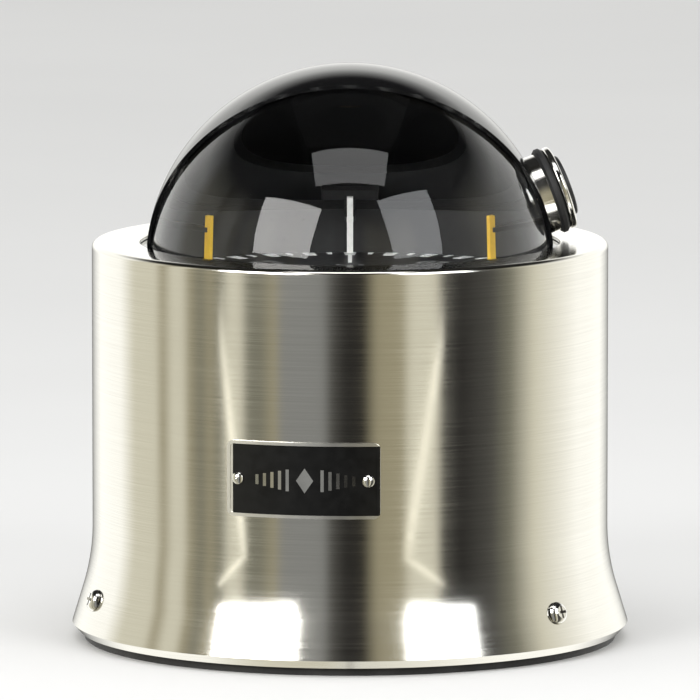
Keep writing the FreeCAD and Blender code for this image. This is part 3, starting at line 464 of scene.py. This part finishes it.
def globe_lens():
    """The clear dome and the fluid it holds, as one solid that bends light as the real pair does."""
    flange_top = DOME_FOOT + 5 * MM
    fluid_radius = DOME_RADIUS - 2 * MM
    fluid_floor = BOWL_FLOOR + 1.5 * MM
    fluid_start = -math.degrees(math.asin((CENTRE_Z - DOME_FOOT) / fluid_radius))
    fluid_end = -math.degrees(math.asin((CENTRE_Z - fluid_floor) / fluid_radius))
    profile = arc(0.0, CENTRE_Z, DOME_RADIUS, 90, 0, 64)
    profile += [(DOME_RADIUS, flange_top), (DOME_FLANGE, flange_top), (DOME_FLANGE, DOME_FOOT)]
    profile += arc(0.0, CENTRE_Z, fluid_radius, fluid_start, fluid_end, 32)
    profile.append((0.0, fluid_floor))
    bm = bmesh.new()
    lathe(bm, profile)
    lens = piece_from("globe_lens", bm, GLASS, "binnacle")
    smooth_turned(lens)
    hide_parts("dome")


# ---------------------------------------------------------------- the housing's shell

def housing_shell():
    """The flared sheet turned finely, so that its rounded rim mirrors the room evenly.

    The screws' and pins' holes are left out: their heads and the nameplate cover every one.
    """
    wall = 1.5 * MM
    edge = 2 * MM
    hem = 0.7 * MM
    opening = 78.5 * MM
    flare_start = 43 * MM
    flare_bend = 80 * MM
    flare_angle = 17
    lip_height = 6 * MM
    lip_return = 2.6 * MM
    lip_width = 1.4 * MM
    inner_lip = lip_height + 0.8 * MM
    slope = math.tan(math.radians(flare_angle))
    flare_centre = HOUSING_RADIUS + flare_bend
    outer_flare = arc(flare_centre, flare_start, flare_bend, 180, 180 + flare_angle, 24)
    inner_flare = arc(flare_centre, flare_start, flare_bend + wall, 180 + flare_angle, 180, 24)
    tip = outer_flare[-1][0] + (outer_flare[-1][1] - lip_height) * slope
    lip_inside = inner_flare[0][0] + (inner_flare[0][1] - inner_lip) * slope
    profile = arc(opening + hem, HOUSING_TOP - hem, hem, 180, 90, 6)
    profile += arc(HOUSING_RADIUS - edge, HOUSING_TOP - edge, edge, 90, 0, 16)
    profile += outer_flare
    profile += [(tip, lip_height), (tip - lip_return, HOUSING_FOOT),
                (tip - lip_return - lip_width, HOUSING_FOOT), (lip_inside, inner_lip)]
    profile += inner_flare
    profile += [(HOUSING_RADIUS - wall, HOUSING_TOP - wall), (opening, HOUSING_TOP - wall)]
    profile.append(profile[0])
    bm = bmesh.new()
    lathe(bm, profile, 384)
    shell = piece_from("housing_shell", bm, STEEL, "binnacle")
    smooth_turned(shell)
    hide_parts("housing")


# ---------------------------------------------------------------- card graphics

INK = 0.06 * MM


def flat_plate(bm, corners, bottom, thickness):
    """Thin raised prism over a flat outline of (x, y) corners."""
    prism(bm, [(x, y, bottom) for x, y in corners], [(x, y, bottom + thickness) for x, y in corners])


def bearing_point(bearing, radius, aside=0.0):
    """Point on the card at a bearing in degrees from the bow, clockwise from above."""
    angle = math.radians(bearing)
    return (radius * math.sin(angle) + aside * math.cos(angle),
            radius * math.cos(angle) - aside * math.sin(angle))


def tick_corners(bearing, inner, outer, half_inner, half_outer):
    """Outline of a mark from one radius to another, with its half width at each end."""
    return [bearing_point(bearing, inner, half_inner), bearing_point(bearing, outer, half_outer),
            bearing_point(bearing, outer, -half_outer), bearing_point(bearing, inner, -half_inner)]


def tick(bm, bearing, inner, outer, half_inner, half_outer):
    flat_plate(bm, tick_corners(bearing, inner, outer, half_inner, half_outer), CARD_TOP, INK)


def letters(bm, text, bearing, radius, size):
    """Raised characters whose tops point outward at a bearing."""
    curve = bpy.data.curves.new("dial_text", "FONT")
    curve.body = text
    curve.size = size
    curve.align_x = "CENTER"
    curve.align_y = "CENTER"
    curve.extrude = INK / 2
    curve.offset = size * 0.02
    holder = bpy.data.objects.new("dial_text", curve)
    mesh = bpy.data.meshes.new_from_object(holder)
    x, y = bearing_point(bearing, radius)
    mesh.transform(Matrix.Translation((x, y, CARD_TOP + INK / 2))
                   @ Matrix.Rotation(-math.radians(bearing), 4, "Z"))
    bm.from_mesh(mesh)
    bpy.data.meshes.remove(mesh)
    bpy.data.objects.remove(holder)
    bpy.data.curves.remove(curve)


def ring_band(bm, inner, outer, bottom, top):
    lathe(bm, [(inner, bottom), (outer, bottom), (outer, top), (inner, top), (inner, bottom)])


def card_marks():
    """Bold marks round the card's edge every five degrees, and the long one at north."""
    bm = bmesh.new()
    edge = CARD_RADIUS - 0.4 * MM
    long_mark = 3.6 * MM
    short_mark = 2.2 * MM
    north_start = 31.0 * MM
    for bearing in range(0, 360, 5):
        if bearing % 10 == 0:
            tick(bm, bearing, edge - long_mark, edge, 0.95 * MM, 1.2 * MM)
        else:
            tick(bm, bearing, edge - short_mark, edge, 0.4 * MM, 0.55 * MM)
    tick(bm, 0, north_start, edge - long_mark, 0.4 * MM, 0.4 * MM)
    piece_from("card_marks", bm, WHITE, "card")


def card_dial():
    """Quieter letters, numerals and rose inside the edge marks."""
    letter_radius, letter_size = 24.0 * MM, 9.0 * MM
    numeral_radius, numeral_size = 35.0 * MM, 7.0 * MM
    rose_ring, rose_line = 17.0 * MM, 0.4 * MM
    rose_start, long_point, short_point = 8.0 * MM, 16.0 * MM, 12.0 * MM
    bm = bmesh.new()
    for bearing, text in ((0, "N"), (90, "E"), (180, "S"), (270, "W")):
        letters(bm, text, bearing, letter_radius, letter_size)
    for bearing in (30, 60, 120, 150, 210, 240, 300, 330):
        letters(bm, "%02d" % (bearing // 10), bearing, numeral_radius, numeral_size)
    ring_band(bm, rose_ring, rose_ring + rose_line, CARD_TOP, CARD_TOP + INK)
    for bearing in range(0, 360, 45):
        reach = long_point if bearing % 90 == 0 else short_point
        tick(bm, bearing, rose_start, reach, 1.6 * MM, 0.05 * MM)
    piece_from("card_dial", bm, INK_GREY, "card")


def card_rim_marks():
    """Short marks down the card's turned-down rim, for reading across it."""
    bm = bmesh.new()
    for bearing in range(0, 360, 5):
        half, drop = (0.55 * MM, 3.2 * MM) if bearing % 10 == 0 else (0.3 * MM, 2.0 * MM)
        corners = tick_corners(bearing, CARD_RADIUS, CARD_RADIUS + INK, half, half)
        flat_plate(bm, corners, CARD_TOP - drop, drop)
    piece_from("card_rim_marks", bm, WHITE, "card")


# ---------------------------------------------------------------- generic motif on the plate

RECESS_DEPTH = 0.3 * MM


def plate_point(across, height, out):
    """Point over the plate's recess from its middle, by distance along it, height and lift."""
    angle = PLATE_ANGLE + across / PLATE_RADIUS
    radius = PLATE_RADIUS - RECESS_DEPTH + out
    return Vector((radius * math.cos(angle), radius * math.sin(angle), PLATE_MIDDLE.z + height))


def plate_shape(bm, corners):
    lift = 0.2 * MM
    prism(bm, [plate_point(across, height, 0) for across, height in corners],
          [plate_point(across, height, lift) for across, height in corners])


def nameplate_marks():
    """A plain diamond between two rows of bars, in place of any name."""
    bm = bmesh.new()
    diamond_width, diamond_height = 3.2 * MM, 4.6 * MM
    plate_shape(bm, [(0, -diamond_height), (diamond_width, 0), (0, diamond_height), (-diamond_width, 0)])
    half_bar = 0.6 * MM
    for side in (-1, 1):
        for index in range(5):
            across = side * (6.5 + 2.9 * index) * MM
            half_height = (4.0 - 0.55 * index) * MM
            left, right = across - half_bar, across + half_bar
            plate_shape(bm, [(left, -half_height), (right, -half_height),
                             (right, half_height), (left, half_height)])
    piece_from("nameplate_marks", bm, POLISHED, "binnacle")


# ---------------------------------------------------------------- studio

def studio_floor():
    """Plain pale disc in rings, which polished surfaces don't mirror."""
    ring_radii = (0.0, 1.0, 4.0, 14.0)
    bm = bmesh.new()
    lathe(bm, [(radius, 0.0) for radius in ring_radii], 96)
    mesh = bpy.data.meshes.new("studio_floor")
    bm.to_mesh(mesh)
    bm.free()
    mesh.materials.append(FLOOR)
    floor = bpy.data.objects.new("studio_floor", mesh)
    bpy.context.scene.collection.objects.link(floor)
    floor.visible_glossy = False


def area_lamp(name, width, height, power, colour, only_mirrored):
    """Rectangular lamp that the camera doesn't see.

    It is either a window that only polished surfaces show, or a soft light on everything else.
    """
    lamp = bpy.data.lights.new(name, "AREA")
    lamp.shape = "RECTANGLE"
    lamp.size = width
    lamp.size_y = height
    lamp.energy = power
    lamp.color = colour
    holder = bpy.data.objects.new(name, lamp)
    bpy.context.scene.collection.objects.link(holder)
    holder.visible_camera = False
    holder.visible_diffuse = not only_mirrored
    holder.visible_glossy = only_mirrored
    return holder


def soft_box(name, azimuth, elevation, distance, width, height, power, only_mirrored, warmth=(1, 1, 1)):
    """Lamp aimed at the compass; azimuth 0 is behind the camera, positive to starboard."""
    turn = math.radians(azimuth)
    rise = math.radians(elevation)
    away = Vector((math.sin(turn) * math.cos(rise), -math.cos(turn) * math.cos(rise), math.sin(rise)))
    holder = area_lamp(name, width, height, power, warmth, only_mirrored)
    holder.location = OBJECT_MIDDLE + away * distance
    holder.rotation_euler = away.to_track_quat("Z", "Y").to_euler()


def light_strip(name, top_bearing, bottom_bearing):
    """Thin tilted lamp close by, which the housing shows as one slanted streak.

    The bearings are where on the housing the streak's top and bottom stand.
    """
    reach = 0.5
    width = 0.018
    power = 0.012
    ivory = (1.0, 0.97, 0.86)
    sink = reach * math.tan(VIEW_ELEVATION)
    ends = []
    for bearing, height in ((top_bearing, HOUSING_TOP), (bottom_bearing, 0.2 * HOUSING_TOP)):
        on_wall = math.radians(bearing)
        wall = HOUSING_RADIUS * Vector((math.sin(on_wall), -math.cos(on_wall), 0))
        out = reach * Vector((math.sin(2 * on_wall), -math.cos(2 * on_wall), 0))
        ends.append(wall + out + Vector((0, 0, height - sink)))
    upper, lower = ends
    middle = (upper + lower) / 2
    along = (upper - lower).normalized()
    towards = middle - Vector((0, 0, middle.z))
    facing = (towards - along * towards.dot(along)).normalized()
    holder = area_lamp(name, width, (upper - lower).length, power, ivory, True)
    turn = Matrix((along.cross(facing), along, facing)).transposed().to_4x4()
    holder.matrix_world = Matrix.Translation(middle) @ turn


# The room as polished metal sees it: brightness and tint by bearing from behind the camera.
IVORY = (0.92, 0.89, 0.74)
TAN = (0.46, 0.42, 0.29)
MID = (0.27, 0.265, 0.21)
COOL = (0.33, 0.335, 0.33)
DIM = (0.10, 0.098, 0.09)
DARK_ROOM = (0.03, 0.029, 0.027)
PALE = (1.5, 1.5, 1.45)
ROOM = [
    (-180, PALE), (-124, PALE), (-112, IVORY), (-97, IVORY), (-92, TAN), (-86, IVORY), (-80, IVORY),
    (-76, TAN), (-70, MID), (-65, TAN), (-60, MID), (-55, IVORY), (-50, IVORY), (-46, MID), (-40, MID),
    (-34, TAN), (-30, COOL), (-12, COOL), (-8, DIM), (-2, DARK_ROOM), (6, DARK_ROOM), (12, TAN),
    (23, TAN), (27, IVORY), (38, IVORY), (42, DIM), (50, DARK_ROOM), (66, DIM), (76, MID), (90, IVORY),
    (122, PALE), (180, PALE),
]
EVEN_LIGHT = 0.85
CEILING = (math.sin(math.radians(24)), math.sin(math.radians(38)))
BEHIND = (math.radians(148), math.radians(172))
HORIZON = (-0.11, 0.09)
BEHIND_DARKNESS = 0.85


def room_light():
    """Polished metal mirrors the room; the camera, the lens and plain surfaces see even white."""
    world = bpy.data.worlds.new("room")
    bpy.context.scene.world = world
    world.use_nodes = True
    room = Nodes(world.node_tree)
    towards = room.node("ShaderNodeSeparateXYZ")
    room.join(room.node("ShaderNodeTexCoord").outputs["Generated"], towards.inputs[0])
    nearer = room.maths("MULTIPLY", towards.outputs[1], -1.0)
    bearing_at = room.maths("ARCTAN2", towards.outputs[0], nearer)
    ramp = room.node("ShaderNodeValToRGB")
    room.join(room.spread(bearing_at, 0.0, 1.0, -math.pi, math.pi), ramp.inputs[0])
    stops = ramp.color_ramp.elements
    for bearing, colour in ROOM[1:-1]:
        stop = stops.new(bearing / 360 + 0.5)
        stop.color = colour + (1,)
    stops[0].color = ROOM[0][1] + (1,)
    stops[-1].color = ROOM[-1][1] + (1,)

    # The ceiling is nearly dark, and so is what lies low behind the compass.
    lit = room.spread(towards.outputs[2], 1.0, 0.02, *CEILING)
    far_behind = room.spread(room.maths("ABSOLUTE", bearing_at), 0.0, 1.0, *BEHIND)
    below = room.spread(towards.outputs[2], 1.0, 0.0, *HORIZON)
    unlit = room.maths("MULTIPLY", far_behind, below)
    kept = room.maths("SUBTRACT", 1.0, room.maths("MULTIPLY", unlit, BEHIND_DARKNESS))
    brightness = room.maths("MULTIPLY", lit, kept)
    mirrored = room.node("ShaderNodeBackground")
    room.join(ramp.outputs[0], mirrored.inputs[0])
    room.join(brightness, mirrored.inputs[1])
    even = room.node("ShaderNodeBackground")
    even.inputs[0].default_value = (1.0, 1.0, 0.99, 1)
    even.inputs[1].default_value = EVEN_LIGHT
    path = room.node("ShaderNodeLightPath")
    seen = room.maths("MAXIMUM", path.outputs["Is Camera Ray"], path.outputs["Is Transmission Ray"])
    plain = room.maths("MAXIMUM", seen, path.outputs["Is Diffuse Ray"])
    choice = room.node("ShaderNodeMixShader")
    room.join(plain, choice.inputs[0])
    room.join(mirrored.outputs[0], choice.inputs[1])
    room.join(even.outputs[0], choice.inputs[2])
    room.join(choice.outputs[0], room.tree.nodes["World Output"].inputs["Surface"])


def camera():
    """Looks along +Y, a little down, from far enough away that the sides stay parallel."""
    distance = 4.0
    view_width = 0.262
    data = bpy.data.cameras.new("camera")
    data.sensor_width = 36.0
    data.lens = data.sensor_width * distance / view_width
    data.clip_end = 60.0
    holder = bpy.data.objects.new("camera", data)
    away = Vector((0, -math.cos(VIEW_ELEVATION), math.sin(VIEW_ELEVATION)))
    holder.location = OBJECT_MIDDLE + away * distance
    holder.rotation_euler = away.to_track_quat("Z", "Y").to_euler()
    bpy.context.scene.collection.objects.link(holder)
    bpy.context.scene.camera = holder


camera()
room_light()
studio_floor()

# Azimuth and elevation in degrees, distance, width and height in metres, watts, only mirrored, tint.
soft_box("window_port", -41, 27, 1.6, 0.98, 0.84, 24, True, (1.0, 0.99, 0.97))
soft_box("window_starboard", 40, 29, 1.6, 0.86, 0.98, 12, True, (0.96, 0.98, 1.0))
soft_box("skylight", 0, 67, 1.8, 1.15, 0.72, 7.0, True)
light_strip("streak_port", -30, -23.5)
light_strip("streak_starboard", 21, 12)
soft_box("fill_port", -38, 30, 1.6, 0.60, 0.50, 8, False)
soft_box("fill_starboard", 40, 30, 1.6, 0.60, 0.50, 6, False)
soft_box("overhead", 0, 82, 1.8, 1.6, 1.2, 8, False)
bpy.context.scene.view_settings.view_transform = "Standard"

globe_lens()
housing_shell()
card_marks()
card_dial()
card_rim_marks()
nameplate_marks()
